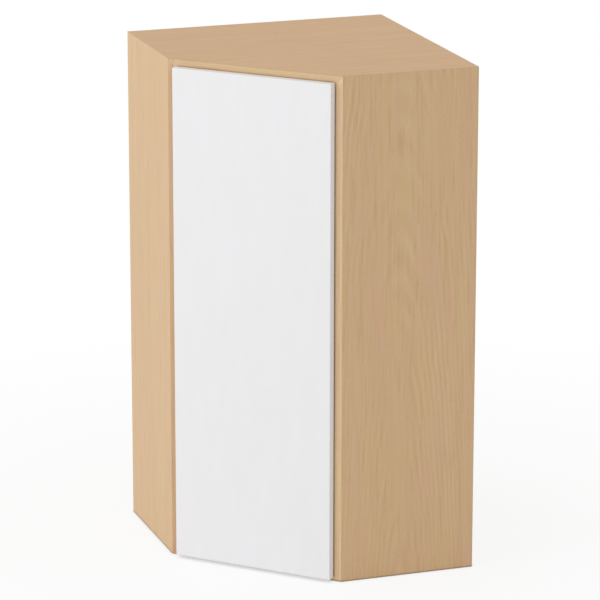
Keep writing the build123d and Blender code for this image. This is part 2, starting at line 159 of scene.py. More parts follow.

# Painted shade on the veneer where another piece comes near: how near, the open share of the view at
# which it starts and is full, and the tint
nearShades = {
    "board": (0.0075, 0.80, 0.40, "#5E4E3C"),
    "aboveDoor": (0.0075, 0.80, 0.40, "#C8BFB4"),
    "besideDoor": (0.040, 0.97, 0.86, "#EBE0DD"),
}
nearSamples = 8

# The top panel's leaf, which the upper ends of the boards beside it match
topLeaf = dict(along="X", across="Y", heart=-0.35, start=0.9, tone=0.963, warmth=0.15)


def makeVeneer(name, along, across, heart=0.0, start=0.0, tone=1.0, warmth=0.0, turn=0.0, near="board",
               arris=birchVeneer["edgeRadius"]):
    v = birchVeneer
    material, add = newMaterial(name)
    turned = add("ShaderNodeMapping", {
        "Vector": add("ShaderNodeTexCoord").outputs["Object"], "Rotation": (0, 0, math.radians(turn))})
    axes = add("ShaderNodeSeparateXYZ", turned).outputs

    def grainAxes(along, across, heart, start, **rest):
        through = ({"X", "Y", "Z"} - {along, across}).pop()
        order = add("ShaderNodeCombineXYZ", axes[across], axes[through], axes[along])
        return add("ShaderNodeVectorMath", order, (-heart, 0, start), operation="ADD")

    # upper ends take the top panel's leaf
    normal = add("ShaderNodeSeparateXYZ", add("ShaderNodeNewGeometry").outputs["True Normal"])
    upward = add("ShaderNodeMath", normal.outputs[2], v["endGrain"], operation="GREATER_THAN")
    grain = add("ShaderNodeMix", {0: upward, 4: grainAxes(along, across, heart, start), 5: grainAxes(**topLeaf)},
                data_type="VECTOR").outputs[1]

    # noise stretched along the grain, taken from one range to another
    def grainLayer(which, *span):
        crosswise, lengthwise, octaves, rough = grainNoises[which]
        squeezed = add("ShaderNodeVectorMath", grain, (crosswise, crosswise, lengthwise), operation="MULTIPLY")
        noise = add("ShaderNodeTexNoise", {
            "Vector": squeezed, "Scale": 1.0, "Detail": octaves, "Roughness": rough})
        return add("ShaderNodeMapRange", noise, *span)

    def evenly(strength):
        return 0.0, 1.0, -strength / 2, strength / 2

    # dark marks, with the wood between them lifted to keep the mean tone
    def marked(low, high, lift, strength):
        return low, high, lift * strength, (lift - 1) * strength

    wander = add("ShaderNodeCombineXYZ", grainLayer("wander", *evenly(v["wander"])), v["logDepth"])
    spot = add("ShaderNodeSeparateXYZ", grain).outputs
    sinking = add("ShaderNodeMath", spot[2], v["taper"], operation="MULTIPLY")
    fromHeart = add("ShaderNodeVectorMath", add("ShaderNodeCombineXYZ", spot[0], sinking), wander, operation="ADD")
    radius = add("ShaderNodeVectorMath", fromHeart, operation="LENGTH").outputs["Value"]
    phase = add("ShaderNodeMath", radius, 2 * math.pi / v["ringPitch"], operation="MULTIPLY")
    rings = add("ShaderNodeMath", phase, operation="SINE")
    ringFade = grainLayer("rings", *v["ringPatches"], 0.0, v["ringStrength"])
    pores = grainLayer("pores", *evenly(v["poreStrength"]))
    shade = v["middle"]
    for layer in (
            add("ShaderNodeMath", rings, ringFade, operation="MULTIPLY"),
            grainLayer("streaks", *evenly(v["streakStrength"])),
            grainLayer("fibres", *marked(*v["fibreMarks"], v["fibreStrength"])),
            grainLayer("flecks", *marked(*v["fleckMarks"], v["fleckStrength"])),
            pores):
        shade = add("ShaderNodeMath", shade, layer, operation="ADD")
    hue = grainLayer("hue", 0.0, 1.0, 0.0, 1.0)
    flushed, strawy = [add("ShaderNodeMapRange", hue, *v[patches], 0.0, v["hueStrength"])
                       for patches in ("flushPatches", "strawPatches")]
    wood = layCoats(add, linearColour(v["dark"], tone, warmth), [
        (shade, linearColour(v["pale"], tone, warmth)),
        (flushed, linearColour(v["flush"], tone, warmth)),
        (strawy, linearColour(v["straw"], tone, warmth))])
    match = tuple(a / b for a, b in zip(linearColour("#FFFFFF", topLeaf["tone"], topLeaf["warmth"]),
                                        linearColour("#FFFFFF", tone, warmth)))
    wood = add("ShaderNodeMix", {0: upward, 6: wood, 7: match}, data_type="RGBA", blend_type="MULTIPLY").outputs[2]
    eased, highlitArrises, shadedLowerArrises = easedEdges(add, arris, v["highlightAndWear"], v["paintedLowerShade"])
    # painted shade: ambient occlusion darkens the wood where another piece comes near
    reach, clear, full, tint = nearShades[near]
    nearby = add("ShaderNodeAmbientOcclusion", {"Distance": reach}, samples=nearSamples)
    shaded = add("ShaderNodeMapRange", nearby.outputs["AO"], clear, full)
    # arrises paler as painted highlight and wear, lower arrises darker as painted shade
    wood = layCoats(add, wood, [
        (highlitArrises, linearColour(v["pale"], tone * v["highlightAndWearTone"], warmth)), (shadedLowerArrises, linearColour(v["lowerArrisShade"]))])
    wood = add("ShaderNodeMix", {0: shaded, 6: wood, 7: linearColour(tint)},
               data_type="RGBA", blend_type="MULTIPLY").outputs[2]
    relief = add("ShaderNodeBump", {
        "Strength": v["relief"], "Distance": v["poreDepth"], "Height": pores, "Normal": eased})
    gloss = add("ShaderNodeMath", pores, v["poreGloss"], v["roughness"], operation="MULTIPLY_ADD")
    shader = add("ShaderNodeBsdfPrincipled", {
        "Base Color": wood, "Roughness": gloss, "IOR": v["ior"], "Specular IOR Level": v["sheen"],
        "Normal": relief})
    add("ShaderNodeOutputMaterial", shader)
    return material


# White lacquer sprayed on fibreboard: satin, near flat, with faint upright clouds from the spray
# passes, fine orange peel, a painted highlight on its arrises and painted shade on its lower arris
whiteLacquer = {
    "film": "#F6F5F7",
    "cloud": "#F4F4F5",
    # painted highlight on the arrises
    "edge": "#FAFAFA",
    "lowerFilmShade": "#9C9B9D",         # painted shade on the lower arris
    "clouds": (30.0, 30.0, 6.0),           # 33 mm wide and 167 mm high
    "cloudRange": (0.35, 0.65),
    "peel": 420.0,             # 2.4 mm wide
    "peelRelief": 0.08,
    "peelDepth": 0.0002,
    "highlightAndWear": 0.6,             # painted highlight on the arrises
    "paintedLowerShade": 0.9,              # painted shade on the lower ones
    "roughness": 0.33,
    "cloudGloss": 0.10,        # how much the clouds change the roughness
    "ior": 1.48,
    "sheen": 0.4,
    "edgeRadius": 0.0012,
}


def makeLacquer(name):
    v = whiteLacquer
    material, add = newMaterial(name)
    place = add("ShaderNodeTexCoord").outputs["Object"]
    squeezed = add("ShaderNodeMapping", {"Vector": place, "Scale": v["clouds"]})
    clouds = add("ShaderNodeTexNoise", {"Vector": squeezed, "Scale": 1.0, "Detail": 5.0, "Roughness": 0.65})
    peel = add("ShaderNodeTexNoise", {"Vector": place, "Scale": v["peel"], "Detail": 1.0})
    eased, highlitArrises, shadedLowArrises = easedEdges(add, v["edgeRadius"], v["highlightAndWear"], v["paintedLowerShade"])
    # arrises paler as painted highlight, lower arrises darker as painted shade
    film = layCoats(add, linearColour(v["cloud"]), [
        (add("ShaderNodeMapRange", clouds, *v["cloudRange"]), linearColour(v["film"])),
        (highlitArrises, linearColour(v["edge"])), (shadedLowArrises, linearColour(v["lowerFilmShade"]))])
    relief = add("ShaderNodeBump", {
        "Strength": v["peelRelief"], "Distance": v["peelDepth"], "Height": peel, "Normal": eased})
    gloss = add("ShaderNodeMath", clouds, v["cloudGloss"], v["roughness"], operation="MULTIPLY_ADD")
    shader = add("ShaderNodeBsdfPrincipled", {
        "Base Color": film, "Roughness": gloss, "IOR": v["ior"], "Specular IOR Level": v["sheen"],
        "Normal": relief})
    add("ShaderNodeOutputMaterial", shader)
    return material


# Plated steel and die-cast zinc: fine rubbing marks one way, dull spots, arrises paler as painted highlight and
# polish, lower arrises darker as painted shade
metalFinish = {
    "rubbing": (90.0, 90.0, 2600.0),       # marks 0.4 mm apart and 11 mm long
    "rubGloss": 0.12,          # how much the marks change the roughness
    "rubRelief": 0.10,
    "rubDepth": 0.00002,
    "spots": 260.0,            # 4 mm wide
    "spotRange": (0.40, 0.75),
    "highlightAndWear": 0.4,             # painted highlight and polish on the arrises
    "highlightAndWearTone": 1.15,
    "paintedLowerShade": 0.3,              # painted shade on the lower ones
    "lowerShadeTone": 0.8,
    "edgeRadius": 0.0004,
}


def makeMetal(name, bright, dull, roughness):
    v = metalFinish
    material, add = newMaterial(name)
    place = add("ShaderNodeTexCoord").outputs["Object"]
    squeezed = add("ShaderNodeMapping", {"Vector": place, "Scale": v["rubbing"]})
    rubs = add("ShaderNodeTexNoise", {"Vector": squeezed, "Scale": 1.0, "Detail": 3.0})
    spots = add("ShaderNodeTexNoise", {"Vector": place, "Scale": v["spots"], "Detail": 2.0})
    eased, highlitArrises, shadedLowArrises = easedEdges(add, v["edgeRadius"], v["highlightAndWear"], v["paintedLowerShade"])
    # paler arrises as painted highlight and polish, darker lower arrises as painted shade
    plate = layCoats(add, linearColour(bright), [
        (add("ShaderNodeMapRange", spots, *v["spotRange"]), linearColour(dull)),
        (highlitArrises, linearColour(bright, v["highlightAndWearTone"])), (shadedLowArrises, linearColour(dull, v["lowerShadeTone"]))])
    gloss = add("ShaderNodeMath", rubs, v["rubGloss"], roughness - v["rubGloss"] / 2, operation="MULTIPLY_ADD")
    relief = add("ShaderNodeBump", {
        "Strength": v["rubRelief"], "Distance": v["rubDepth"], "Height": rubs, "Normal": eased})
    shader = add("ShaderNodeBsdfPrincipled", {
        "Base Color": plate, "Metallic": 1.0, "Roughness": gloss, "Normal": relief})
    add("ShaderNodeOutputMaterial", shader)
    return material


# A body whose colour drifts between two tones: clear cast polyurethane of the door buffers, soft and
# slightly cloudy; raw turned beech of the dowels, matt and flecked; hot-melt glue squeezed from a
# mitre, amber brown with dust in it
def makeMottled(name, first, second, scale, roughness, clear=0.0):
    material, add = newMaterial(name)
    place = add("ShaderNodeTexCoord").outputs["Object"]
    drift = add("ShaderNodeTexNoise", {"Vector": place, "Scale": scale, "Detail": 3.0})
    body = layCoats(add, linearColour(first), [(drift, linearColour(second))])
    shader = add("ShaderNodeBsdfPrincipled", {
        "Base Color": body, "Roughness": roughness, "IOR": 1.5, "Transmission Weight": clear})
    add("ShaderNodeOutputMaterial", shader)
    return material


# One veneer leaf for each board: grain direction, where its heart runs and how warm it came out
veneerLeaves = {
    "left_side_panel": dict(along="Z", across="Y", heart=0.45, start=0.3, tone=0.985),
    "right_side_panel": dict(along="Z", across="X", heart=0.13, start=-0.1, tone=0.985, warmth=0.02),
    "top_panel": topLeaf,
    "bottom_panel": dict(along="X", across="Y", heart=0.30, start=1.6),
    "left_back_panel": dict(along="Z", across="X", heart=0.20, start=0.8, tone=0.99),
    "right_back_panel": dict(along="Z", across="Y", heart=-0.15, start=1.9),
    "left_hanging_rail": dict(along="X", across="Z", heart=1.20, start=0.4, tone=0.99),
    "right_hanging_rail": dict(along="Y", across="Z", heart=1.25, start=1.4),
    "lower_shelf": dict(along="X", across="Y", heart=0.10, start=2.3),
    "middle_shelf": dict(along="X", across="Y", heart=0.25, start=3.1, tone=0.99),
    "upper_shelf": dict(along="X", across="Y", heart=-0.20, start=4.2),
}


def dress(name, material):
    slots = nodes[name].data.materials
    slots.clear()
    slots.append(material)


for board, leaf in veneerLeaves.items():
    dress(board, makeVeneer("birchVeneer_" + board, **leaf))
dress("door_panel", makeLacquer("whiteLacquer"))
nickelPlate = makeMetal("nickelPlatedSteel", "#D3D0CB", "#C2BFBA", 0.30)
zincCasting = makeMetal("zincDieCasting", "#AEB0B3", "#9A9C9F", 0.45)
zincPlate = makeMetal("brightZincPlate", "#CDD1D5", "#B4B8BD", 0.32)
rawBeech = makeMottled("rawBeech", "#C79A6B", "#E2C097", 500.0, 0.75)
clearRubber = makeMottled("clearPolyurethane", "#E6E6E2", "#D4D6D2", 300.0, 0.3, clear=0.5)
paleGlue = makeMottled("paleHotMeltGlue", "#C09A70", "#D0AC82", 600.0, 0.6)
darkGlue = makeMottled("darkHotMeltGlue", "#33261A", "#4A3826", 600.0, 0.6)
for name in ("hinge_arms", "hinge_plates", "hinge_cups", "hinge_pins"):
    dress(name, nickelPlate)
dress("cam_bolts", zincPlate)
print("finishes on:", len(bpy.data.materials), "materials")


def newMesh(name, verts, faces, material):
    mesh = bpy.data.meshes.new(name)
    mesh.from_pydata(verts, [], faces)
    mesh.materials.append(material)
    return mesh


def newObject(name, data):
    made = bpy.data.objects.new(name, data)
    bpy.context.scene.collection.objects.link(made)
    return made


def newPiece(name, mesh, body):
    piece = newObject(name, mesh)
    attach(piece, body)
    return piece


# Veneer edging ironed on the front edges. On the two upper corners its ends are mitred with a hair of
# glue between them, and near the left one the top's edging has a darker joint, as the photograph shows.
edging = {
    "corner": (-0.304823, -0.004409),      # left front corner of the carcass in plan
    "frontLength": 0.422850,
    "thickness": 0.00025,
    "bed": 0.00002,            # clearance behind a strip
    "arris": 0.0003,
    "flushGlue": 0.00020,
    "deepGlue": 0.00006,
    "joint": 0.00028,          # half the gap between two strips
    "sideStrip": 0.025456,     # width of a side panel's front edge
    "leftLap": 0.0131,         # where the photograph shows the top edging's joint, from the left corner
    "shelfSetback": 0.022,
    "shelfEase": 0.0023,       # a shelf's front corner stands this far inside the side's strip
    "rightPaintedLightTone": 1.20,         # painted light: the right strip made paler in place of light the door's shadow takes, its roll also pinker
    "rightWarmth": -0.09,
    "levelTone": 1.03,
    "levelWarmth": -0.06,
}


def frontPoint(u, z, v):
    x0, y0 = edging["corner"]
    return (x0 + (u - v) / math.sqrt(2), y0 - (u + v) / math.sqrt(2), z)


def addStrip(name, outline, material, behind=0.0, thickness=edging["thickness"]):
    back, front = [[frontPoint(u, z, out - behind) for u, z in outline] for out in (edging["bed"], thickness)]
    count = len(outline)
    sides = [(i, (i + 1) % count, (i + 1) % count + count, i + count) for i in range(count)]
    faces = [tuple(reversed(range(count))), tuple(range(count, 2 * count))] + sides
    newPiece(name, newMesh(name, back + front, faces, material), "carcass")


def addEdging():
    e = edging
    side, full, lap, j = e["sideStrip"], e["frontLength"], e["leftLap"], e["joint"]
    level = makeVeneer("birchEdging_level", "X", "Z", heart=0.9, start=0.5, tone=e["levelTone"],
                       warmth=e["levelWarmth"], turn=45, near="aboveDoor", arris=e["arris"])
    left = makeVeneer("birchEdging_left", "Z", "X", heart=0.6, start=0.2, tone=e["levelTone"],
                      warmth=e["levelWarmth"], turn=45, near="besideDoor", arris=e["arris"])
    # paler tone: painted light on the right strip
    right = makeVeneer("birchEdging_right", "Z", "X", heart=0.6, start=0.7, tone=e["rightPaintedLightTone"],
                       warmth=e["rightWarmth"], turn=45, arris=e["arris"])
    low, high = [corner[2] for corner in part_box("bottom_panel")]
    under, top = [corner[2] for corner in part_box("top_panel")]
    drop = top - under

    def oblong(left, right, bottom, top):
        return [(left, bottom), (right, bottom), (right, top), (left, top)]

    # a side's strip, mitred at 45 degrees from the outer corner to a distance from it
    def upright(reach, shoulder=()):
        return [(j, j), (side - j, j), (side - j, under - j), *shoulder,
                (reach - j, top - reach - j), (j, top - 3 * j)]

    def mitre(reach):
        return [(j, top - 3 * j), (reach - j, top - reach - j), (reach - j, top - reach + j), (j, top - j)]

    def mirrored(outline):
        return [(full - u, z) for u, z in reversed(outline)]

    addStrip("leftSideEdging", upright(lap, [(lap - j, under - j)]), left)
    addStrip("rightSideEdging", mirrored(upright(drop)), right)
    addStrip("topEdging", [
        (lap + j, under + j), (full - drop + j, under + j), (full - j, top - j), (lap + j, top - j)], level)
    addStrip("topCornerEdging", [(lap - j, top - lap + j), (lap - j, top - j), (j, top - j)], level)
    addStrip("bottomEdging", oblong(side + j, full - side - j, low, high), level)
    addStrip("leftMitreGlue", mitre(lap), paleGlue, thickness=e["flushGlue"])
    addStrip("rightMitreGlue", mirrored(mitre(drop)), paleGlue, thickness=e["flushGlue"])
    addStrip("leftJointGlue", oblong(lap - j, lap + j, under + j, top - j), darkGlue, thickness=e["deepGlue"])
    inset = side - e["shelfSetback"] + e["shelfEase"]
    for shelf in ("lower", "middle", "upper"):
        low, high = [corner[2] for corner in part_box(shelf + "_shelf")]
        addStrip(shelf + "ShelfEdging", oblong(inset, full - inset, low, high), level, behind=e["shelfSetback"])


addEdging()
print("edging on the front edges")


weldDistance = 0.000001        # points this near are the same point


# Where each separate solid of a CAD node sits: its points, its middle and its long axis. The solids
# come in the order of the mesh, which is the same in each run.
def placesOf(name):
    merged = bmesh.new()
    merged.from_mesh(nodes[name].data)
    bmesh.ops.remove_doubles(merged, verts=merged.verts, dist=weldDistance)
    seen, places = set(), []
    for first in merged.verts:
        if first in seen:
            continue
        seen.add(first)
        island = [first]
        for vert in island:    # the island grows while it is walked
            for edge in vert.link_edges:
                other = edge.other_vert(vert)
                if other not in seen:
                    seen.add(other)
                    island.append(other)
        points = np.array([vert.co[:] for vert in island])
        middle = (points.min(0) + points.max(0)) / 2
        places.append((points, middle, np.linalg.svd(points - middle)[2][0]))
    merged.free()
    return places


# A screw's place is the middle of its wider end, and it faces out of that end
def screwPlaces(name, sunk=0.0):
    found = []
    for points, middle, axis in placesOf(name):
        reach = (points - middle) @ axis
        widths = np.linalg.norm(points - middle - np.outer(reach, axis), axis=1)
        if widths[reach > 0].max() < widths[reach < 0].max():
            axis, reach = -axis, -reach
        found.append((middle + axis * (reach.max() - sunk), axis, (0, 0, 1)))
    return found


# A node group that puts one finished fitting at each point, its +Z along the point's facing
def fittingTree(name, sizes):
    tree = bpy.data.node_groups.new(name, "GeometryNodeTree")
    tree.interface.new_socket("Places", in_out="INPUT", socket_type="NodeSocketGeometry")
    for label, size in sizes.items():
        kind = "NodeSocketInt" if isinstance(size, int) else "NodeSocketFloat"
        tree.interface.new_socket(label, in_out="INPUT", socket_type=kind).default_value = size
    tree.interface.new_socket("Finish", in_out="INPUT", socket_type="NodeSocketMaterial")
    tree.interface.new_socket("Fittings", in_out="OUTPUT", socket_type="NodeSocketGeometry")
    add = partial(addNode, tree)
    return tree, add, add("NodeGroupInput").outputs


# Puts the fitting at the points, each turned about its axis by up to the spin, as a screw stops anywhere
def closeTree(add, size, fitting, spin=0.0):
    facing, upward = [add("GeometryNodeInputNamedAttribute", {"Name": name}, data_type="FLOAT_VECTOR")
                      for name in ("facing", "upward")]
    turned = add("FunctionNodeAxesToRotation", facing, upward, primary_axis="Z", secondary_axis="Y")
    twist = add("FunctionNodeRandomValue", {2: -spin, 3: spin, "Seed": 7}, data_type="FLOAT").outputs[1]
    about = add("FunctionNodeAxisAngleToRotation", (0, 0, 1), twist)
    both = add("FunctionNodeRotateRotation", turned, about, rotation_space="LOCAL")
    spread = add("GeometryNodeInstanceOnPoints", {"Points": size["Places"], "Instance": fitting, "Rotation": both})
    real = add("GeometryNodeRealizeInstances", spread)
    add("NodeGroupOutput", add("GeometryNodeSetMaterial", {0: real, "Material": size["Finish"]}))


# A round bar or cone on the fitting's axis, with its lower end at a height
def roundPiece(add, radius, length, low, sides=24, top=None):
    bar = add("GeometryNodeMeshCone", {
        "Vertices": sides, "Radius Top": radius if top is None else top, "Radius Bottom": radius, "Depth": length})
    return add("GeometryNodeTransform", {"Geometry": bar, "Translation": add("ShaderNodeCombineXYZ", {2: low})})


crossBar = 0.2                 # width of a cross recess's bars, of its span


# Cuts a cross recess; the cutter's middle is on the face, so it is twice as high as the recess is deep
def crossCut(add, head, span, deep, face):
    slot = add("GeometryNodeMeshCube", {"Size": add(
        "ShaderNodeCombineXYZ", span, add("ShaderNodeMath", span, crossBar, operation="MULTIPLY"),
        add("ShaderNodeMath", deep, 2.0, operation="MULTIPLY"))})
    level = add("ShaderNodeCombineXYZ", {2: face})
    slots = [add("GeometryNodeTransform", {"Geometry": slot, "Translation": level, "Rotation": (0, 0, turn)})
             for turn in (0.0, math.pi / 2)]
    cross = add("GeometryNodeMeshBoolean", {1: slots}, operation="UNION", solver="EXACT")
    return add("GeometryNodeMeshBoolean", head, cross, operation="DIFFERENCE", solver="EXACT")


# Chipboard screw with a rolled thread; its head is sunk (a cone) or a low rounded pan. A pan head
# stands on the face, a sunk one ends flush with it.
screwShape = {
    "core": 0.72,              # of the thread's radius
    "threaded": 0.9,           # share of the length
    "panCrown": 0.78,          # of the head's radius
    "recessSpan": 1.15,        # of the head's radius
    "recessDepth": 0.6,        # of the head's height
}


def screwTree():
    tree, add, size = fittingTree("crossHeadScrew", {
        "Shank Radius": 0.00175, "Head Radius": 0.0036, "Head Height": 0.0018, "Length": 0.030, "Sunk": 1.0,
        "Thread Pitch": 0.0018})
    s = screwShape
    core = add("ShaderNodeMath", size["Shank Radius"], s["core"], operation="MULTIPLY")
    foot = add("ShaderNodeMath", size["Length"], -1.0, operation="MULTIPLY")
    shank = roundPiece(add, core, size["Length"], foot, 12)
    run = add("ShaderNodeMath", size["Length"], s["threaded"], operation="MULTIPLY")
    turns = add("ShaderNodeMath", run, size["Thread Pitch"], operation="DIVIDE")
    helix = add("GeometryNodeCurveSpiral", {
        "Resolution": 10, "Rotations": turns, "Start Radius": core, "End Radius": core, "Height": run})
    ridge = add("GeometryNodeCurvePrimitiveCircle", {
        "Resolution": 3, "Radius": add("ShaderNodeMath", size["Shank Radius"], core, operation="SUBTRACT")})
    thread = add("GeometryNodeTransform", {
        "Geometry": add("GeometryNodeCurveToMesh", helix, ridge, {"Fill Caps": True}),
        "Translation": add("ShaderNodeCombineXYZ", {2: foot})})
    standing = add("ShaderNodeMath", 1.0, size["Sunk"], operation="SUBTRACT")
    face = add("ShaderNodeMath", standing, size["Head Height"], operation="MULTIPLY")
    neck = add("ShaderNodeMapRange", size["Sunk"], 0.0, 1.0, size["Head Radius"], size["Shank Radius"])
    crown = add("ShaderNodeMath", size["Head Radius"],
                add("ShaderNodeMapRange", size["Sunk"], 0.0, 1.0, s["panCrown"], 1.0), operation="MULTIPLY")
    head = roundPiece(add, neck, size["Head Height"],
                      add("ShaderNodeMath", face, size["Head Height"], operation="SUBTRACT"), top=crown)
    head = crossCut(add, head, add("ShaderNodeMath", size["Head Radius"], s["recessSpan"], operation="MULTIPLY"),
                    add("ShaderNodeMath", size["Head Height"], s["recessDepth"], operation="MULTIPLY"), face)
    closeTree(add, size, add("GeometryNodeJoinGeometry", [head, shank, thread]), spin=3.0)
    return tree


# Cam of a knock-down fitting: a round casting with a chamfered rim, a cross recess and a side mouth
def camTree():
    tree, add, size = fittingTree("jointCam", {
        "Radius": 0.0073, "Height": 0.012, "Mouth": 0.0035, "Mouth Depth": 0.0095, "Rim": 0.0006,
        "Recess Span": 1.1, "Recess Depth": 0.2})
    down = {name: add("ShaderNodeMath", size[name], -1.0, operation="MULTIPLY")
            for name in ("Height", "Mouth Depth", "Rim")}
    drum = roundPiece(add, size["Radius"], add("ShaderNodeMath", size["Height"], size["Rim"], operation="SUBTRACT"),
                      down["Height"], 40)
    chamfer = roundPiece(add, size["Radius"], size["Rim"], down["Rim"], 40,
                         top=add("ShaderNodeMath", size["Radius"], size["Rim"], operation="SUBTRACT"))
    solid = add("GeometryNodeMeshBoolean", {1: [drum, chamfer]}, operation="UNION", solver="EXACT")
    mouth = add("GeometryNodeTransform", {
        "Geometry": roundPiece(add, size["Mouth"], size["Radius"], 0.0, 20),
        "Translation": add("ShaderNodeCombineXYZ", {2: down["Mouth Depth"]}), "Rotation": (-math.pi / 2, 0, 0)})
    solid = add("GeometryNodeMeshBoolean", solid, mouth, operation="DIFFERENCE", solver="EXACT")
    solid = crossCut(add, solid, add("ShaderNodeMath", size["Radius"], size["Recess Span"], operation="MULTIPLY"),
                     add("ShaderNodeMath", size["Height"], size["Recess Depth"], operation="MULTIPLY"), 0.0)
    closeTree(add, size, solid)
    return tree


# Shelf pin: a peg, a collar against the board and a round-cornered spoon. The spoon's sheet lies in
# XY; stood up it points out of the board with its thickness along Y.
def pinTree():
    tree, add, size = fittingTree("shelfPin", {
        "Peg Radius": 0.00245, "Peg Length": 0.0087, "Collar Radius": 0.0034, "Collar Rim": 0.0029, "Collar": 0.0008,
        "Spoon Width": 0.007, "Spoon Length": 0.007, "Spoon Corner": 0.0018, "Spoon Thickness": 0.0024,
        "Spoon Top": 0.0025})
    peg = roundPiece(add, size["Peg Radius"], size["Peg Length"],
                     add("ShaderNodeMath", size["Peg Length"], -1.0, operation="MULTIPLY"), 20)
    collar = roundPiece(add, size["Collar Radius"], size["Collar"], 0.0, 28, top=size["Collar Rim"])
    sheet = add("GeometryNodeCurvePrimitiveQuadrilateral", {
        "Width": size["Spoon Width"], "Height": size["Spoon Length"]})
    rounded = add("GeometryNodeFilletCurve", {0: sheet, "Radius": size["Spoon Corner"], "Count": 5}, mode="POLY")
    plate = add("GeometryNodeFillCurve", rounded)
    thick = add("GeometryNodeExtrudeMesh", {
        0: plate, "Offset Scale": size["Spoon Thickness"], "Individual": False})
    closed = add("GeometryNodeJoinGeometry", [thick, add("GeometryNodeFlipFaces", plate)])
    welded = add("GeometryNodeMergeByDistance", {0: closed, "Distance": 0.00001})
    out = add("ShaderNodeMath", size["Spoon Length"], 0.5, operation="MULTIPLY")
    spoon = add("GeometryNodeTransform", {
        "Geometry": welded, "Rotation": (math.pi / 2, 0, 0),
        "Translation": add("ShaderNodeCombineXYZ", 0.0, size["Spoon Top"], out)})
    closeTree(add, size, add("GeometryNodeJoinGeometry", [peg, collar, spoon]))
    return tree


# Fluted dowel: a star-shaped bar with tapered ends
def dowelTree():
    tree, add, size = fittingTree("flutedDowel", {
        "Radius": 0.00395, "Length": 0.033, "Flutes": 16, "Flute Bottom": 0.9, "Taper": 0.0012,
        "Tip": 0.75, "Shoulder": 0.92})
    below = add("ShaderNodeMath", size["Taper"], -1.0, operation="MULTIPLY")
    foot = add("ShaderNodeMath", size["Length"], -1.0, operation="MULTIPLY")
    inner, small, big = [add("ShaderNodeMath", size["Radius"], size[share], operation="MULTIPLY")
                         for share in ("Flute Bottom", "Tip", "Shoulder")]
    star = add("GeometryNodeCurveStar", {
        "Points": size["Flutes"], "Inner Radius": inner, "Outer Radius": size["Radius"]})
    plainEnd = add("ShaderNodeMath", foot, size["Taper"], operation="ADD")
    line = add("GeometryNodeCurvePrimitiveLine", {
        "Start": add("ShaderNodeCombineXYZ", {2: below}), "End": add("ShaderNodeCombineXYZ", {2: plainEnd})})
    shaft = add("GeometryNodeCurveToMesh", line, star, {"Fill Caps": True})
    upper = roundPiece(add, big, size["Taper"], below, 16, top=small)
    lower = roundPiece(add, small, size["Taper"], foot, 16, top=big)
    closeTree(add, size, add("GeometryNodeJoinGeometry", [shaft, upper, lower]))
    return tree


# Door buffer: a round self-adhesive pad with a domed face
def bufferTree():
    tree, add, size = fittingTree("doorBuffer", {"Radius": 0.004, "Base": 0.0014, "Height": 0.0032})
    bottom = add("ShaderNodeMath", size["Height"], -1.0, operation="MULTIPLY")
    foot = roundPiece(add, size["Radius"], size["Base"], bottom, 32)
    ball = add("GeometryNodeMeshUVSphere", {"Segments": 32, "Rings": 16, "Radius": size["Radius"]})
    rise = add("ShaderNodeMath", size["Height"], size["Base"], operation="SUBTRACT")
    flat = add("ShaderNodeMath", rise, size["Radius"], operation="DIVIDE")
    dome = add("GeometryNodeTransform", {
        "Geometry": ball, "Scale": add("ShaderNodeCombineXYZ", 1.0, 1.0, flat),
        "Translation": add("ShaderNodeCombineXYZ", {2: add("ShaderNodeMath", rise, -1.0, operation="MULTIPLY")})})
    closeTree(add, size, add("GeometryNodeJoinGeometry", [foot, dome]))
    return tree


# Runs a fitting's tree over its places, keeps the result as a plain mesh and hides the CAD node
def fit(node, pieceName, tree, places, material, body, sizes=None):
    mesh = bpy.data.meshes.new(pieceName + "Places")
    mesh.from_pydata([tuple(at) for at, facing, upward in places], [], [])
    for number, label in ((1, "facing"), (2, "upward")):
        ways = mesh.attributes.new(label, "FLOAT_VECTOR", "POINT")
        ways.data.foreach_set("vector", [c for place in places for c in place[number]])
    holder = newObject(pieceName + "Places", mesh)
    modifier = holder.modifiers.new(pieceName, "NODES")
    modifier.node_group = tree
    wanted = dict(sizes or {}, Finish=material)
    for item in tree.interface.items_tree:
        if item.in_out == "INPUT" and item.name in wanted:
            modifier[item.identifier] = wanted[item.name]
    graph = bpy.context.evaluated_depsgraph_get()
    result = bpy.data.meshes.new_from_object(holder.evaluated_get(graph), depsgraph=graph)
    bpy.data.objects.remove(holder)
    result.name = pieceName
    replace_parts(newPiece(pieceName, result, body), node)
    print(pieceName, len(places), "pieces,", len(result.polygons), "faces")


panHead = {"Sunk": 0.0, "Head Radius": 0.0038, "Head Height": 0.0022}

# node, piece, body and sizes of each kind of screw
screwKinds = (
    ("back_panel_screws", "backPanelScrews", "carcass",
     {"Sunk": 1.0, "Head Radius": 0.0036, "Head Height": 0.00185, "Length": 0.030}),
    ("hinge_cup_screws", "hingeCupScrews", "door", {**panHead, "Shank Radius": 0.00175, "Length": 0.013}),
    ("hinge_plate_screws", "hingePlateScrews", "carcass", {**panHead, "Shank Radius": 0.0024, "Length": 0.0112}),
    ("hinge_arm_screws", "hingeArmScrews", "carcass", {**panHead, "Shank Radius": 0.0020, "Length": 0.009}),
)

# How a shelf pin's place is read from its solid
pinReading = {
    "endSlice": 0.0001,        # points this near an end belong to it
    "spoonWidth": 0.006,       # an end wider than this is the spoon's
    "spoonReach": 0.007,       # from the board's face to the spoon's tip
    "spoonDrop": 0.0025,       # from the spoon's top to the pin's axis
}


